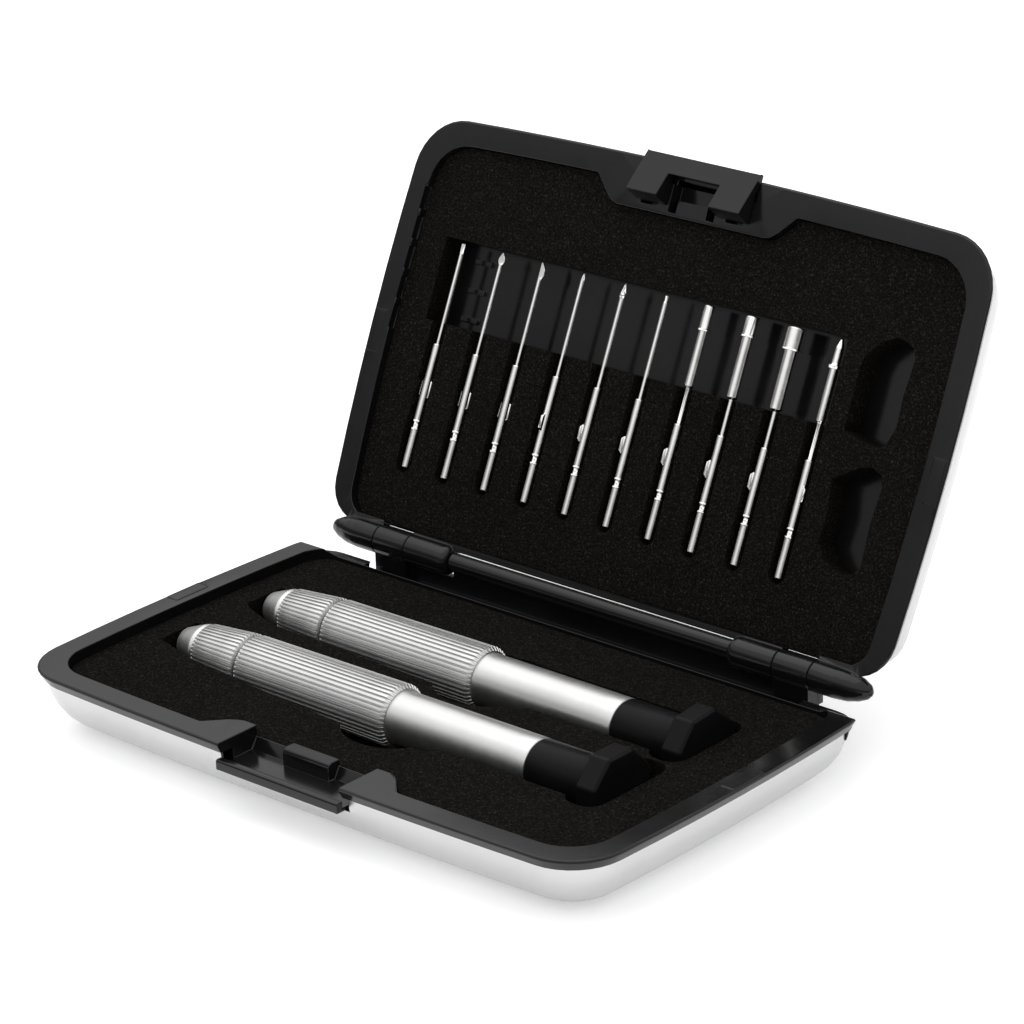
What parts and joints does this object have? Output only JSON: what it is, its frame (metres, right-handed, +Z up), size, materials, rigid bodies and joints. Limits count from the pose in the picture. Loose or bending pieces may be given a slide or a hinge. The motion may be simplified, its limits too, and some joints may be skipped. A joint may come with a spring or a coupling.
{
  "type": "precision screwdriver set",
  "caption": "Hinged pocket case, metal shells on plastic frames with foam trays, holding two fluted chuck drivers and interchangeable precision blades under a sliding latch.",
  "frame": {"origin": "on the base's flat underside, at mid length, 46 mm in front of the hinge axis", "axes": "+X along the hinge to the right, +Y backwards towards the hinge, +Z up; the lid stands open at 115.5 degrees at rest"},
  "size_m": [0.15, 0.1373, 0.0989],
  "materials": {
    "shell_metal": "satin anodised",
    "frame_plastic": "fine satin",
    "foam": "fine closed-cell foam",
    "pin_steel": "drawn",
    "latch_plastic": "fine satin",
    "grip_aluminium": "fine satin",
    "cap_plastic": "satin",
    "blade_nickel": "polished nickel plate"
  },
  "bodies": {
    "base": {"base_shell": "shell_metal", "base_frame": "frame_plastic", "base_foam": "foam", "hinge_pin_left": "pin_steel", "hinge_pin_right": "pin_steel"},
    "lid": {"lid_shell": "shell_metal", "lid_frame": "frame_plastic", "lid_foam": "foam"},
    "latch": {"latch_slider": "latch_plastic"},
    "driver_front": {"driver_front_barrel": "grip_aluminium", "driver_front_end_plug": "cap_plastic", "driver_front_cap_pin": "pin_steel", "driver_front_collet": "pin_steel"},
    "driver_front_nut": {"driver_front_chuck_nut": "grip_aluminium"},
    "driver_front_cap": {"driver_front_swivel_cap": "cap_plastic"},
    "driver_rear": {"driver_rear_barrel": "grip_aluminium", "driver_rear_end_plug": "cap_plastic", "driver_rear_cap_pin": "pin_steel", "driver_rear_collet": "pin_steel"},
    "driver_rear_nut": {"driver_rear_chuck_nut": "grip_aluminium"},
    "driver_rear_cap": {"driver_rear_swivel_cap": "cap_plastic"},
    "blade_slotted_fine": {"blade_slotted_fine": "blade_nickel"},
    "blade_spear": {"blade_spear": "blade_nickel"},
    "blade_knife": {"blade_knife": "blade_nickel"},
    "blade_phillips_small": {"blade_phillips_small": "blade_nickel"},
    "blade_phillips_medium": {"blade_phillips_medium": "blade_nickel"},
    "blade_torx": {"blade_torx": "blade_nickel"},
    "blade_nut_small": {"blade_nut_small": "blade_nickel"},
    "blade_nut_medium": {"blade_nut_medium": "blade_nickel"},
    "blade_nut_large": {"blade_nut_large": "blade_nickel"},
    "blade_awl": {"blade_awl": "blade_nickel"}
  },
  "joints": [
    {"name": "lid_hinge", "type": "hinge", "parent": "base", "child": "lid", "pos_m": [0, 0.046, 0.01565], "axis": [-1, 0, 0], "range_deg": [-115.5, 0]},
    {"name": "latch_slide", "type": "slide", "parent": "lid", "child": "latch", "axis": [0, 0.4305, 0.9026], "range_m": [-0.0014, 0]},
    {"name": "driver_front_lift", "type": "slide", "parent": "base", "child": "driver_front", "axis": [0, 0, 1], "range_m": [0, 0.03]},
    {"name": "driver_front_nut_turn", "type": "hinge", "parent": "driver_front", "child": "driver_front_nut", "pos_m": [0, -0.0075, 0.0098], "axis": [1, 0, 0], "range_deg": [0, 720]},
    {"name": "driver_front_cap_spin", "type": "hinge", "parent": "driver_front", "child": "driver_front_cap", "pos_m": [0, -0.0075, 0.0098], "axis": [1, 0, 0], "continuous": true},
    {"name": "driver_rear_lift", "type": "slide", "parent": "base", "child": "driver_rear", "axis": [0, 0, 1], "range_m": [0, 0.03]},
    {"name": "driver_rear_nut_turn", "type": "hinge", "parent": "driver_rear", "child": "driver_rear_nut", "pos_m": [0, 0.0159, 0.0098], "axis": [1, 0, 0], "range_deg": [0, 720]},
    {"name": "driver_rear_cap_spin", "type": "hinge", "parent": "driver_rear", "child": "driver_rear_cap", "pos_m": [0, 0.0159, 0.0098], "axis": [1, 0, 0], "continuous": true},
    {"name": "blade_slotted_fine_lift", "type": "slide", "parent": "lid", "child": "blade_slotted_fine", "axis": [0, -0.9026, 0.4305], "range_m": [0, 0.015]},
    {"name": "blade_spear_lift", "type": "slide", "parent": "lid", "child": "blade_spear", "axis": [0, -0.9026, 0.4305], "range_m": [0, 0.015]},
    {"name": "blade_knife_lift", "type": "slide", "parent": "lid", "child": "blade_knife", "axis": [0, -0.9026, 0.4305], "range_m": [0, 0.015]},
    {"name": "blade_phillips_small_lift", "type": "slide", "parent": "lid", "child": "blade_phillips_small", "axis": [0, -0.9026, 0.4305], "range_m": [0, 0.015]},
    {"name": "blade_phillips_medium_lift", "type": "slide", "parent": "lid", "child": "blade_phillips_medium", "axis": [0, -0.9026, 0.4305], "range_m": [0, 0.015]},
    {"name": "blade_torx_lift", "type": "slide", "parent": "lid", "child": "blade_torx", "axis": [0, -0.9026, 0.4305], "range_m": [0, 0.015]},
    {"name": "blade_nut_small_lift", "type": "slide", "parent": "lid", "child": "blade_nut_small", "axis": [0, -0.9026, 0.4305], "range_m": [0, 0.015]},
    {"name": "blade_nut_medium_lift", "type": "slide", "parent": "lid", "child": "blade_nut_medium", "axis": [0, -0.9026, 0.4305], "range_m": [0, 0.015]},
    {"name": "blade_nut_large_lift", "type": "slide", "parent": "lid", "child": "blade_nut_large", "axis": [0, -0.9026, 0.4305], "range_m": [0, 0.015]},
    {"name": "blade_awl_lift", "type": "slide", "parent": "lid", "child": "blade_awl", "axis": [0, -0.9026, 0.4305], "range_m": [0, 0.015]}
  ]
}
